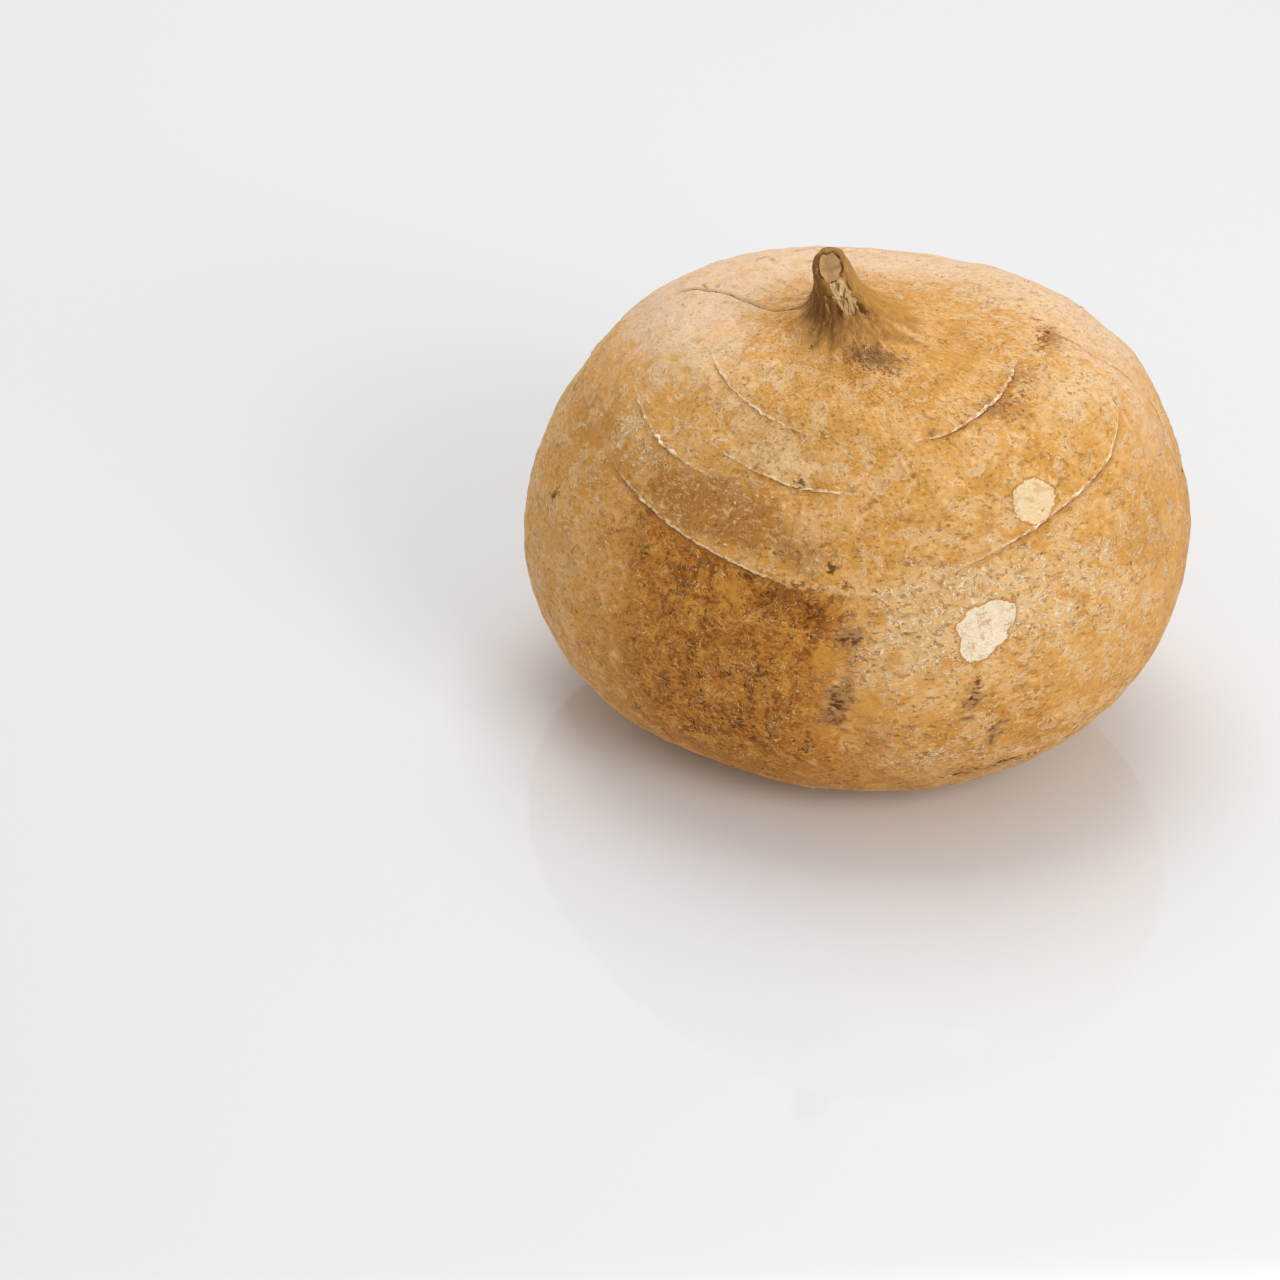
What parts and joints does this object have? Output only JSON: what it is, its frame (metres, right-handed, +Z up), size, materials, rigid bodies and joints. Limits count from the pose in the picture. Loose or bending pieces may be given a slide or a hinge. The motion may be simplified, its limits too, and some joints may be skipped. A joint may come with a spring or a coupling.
{
  "type": "jicama root",
  "caption": "Whole jicama root, a squat lobed tuber with tan papery skin and a stem stub on its crown, resting on a small flat spot.",
  "frame": {"origin": "centre of the small flat spot that the root rests on", "axes": "+Z up through the root, -Z out of the flat spot, -Y towards the side that the stem stub leans to, +X to its right"},
  "size_m": [0.128, 0.1095, 0.104],
  "materials": {
    "corky_skin": "dry corky skin, matt with a faint waxy sheen"
  },
  "bodies": {
    "root": {"jicama_root": "corky_skin"}
  },
  "joints": []
}
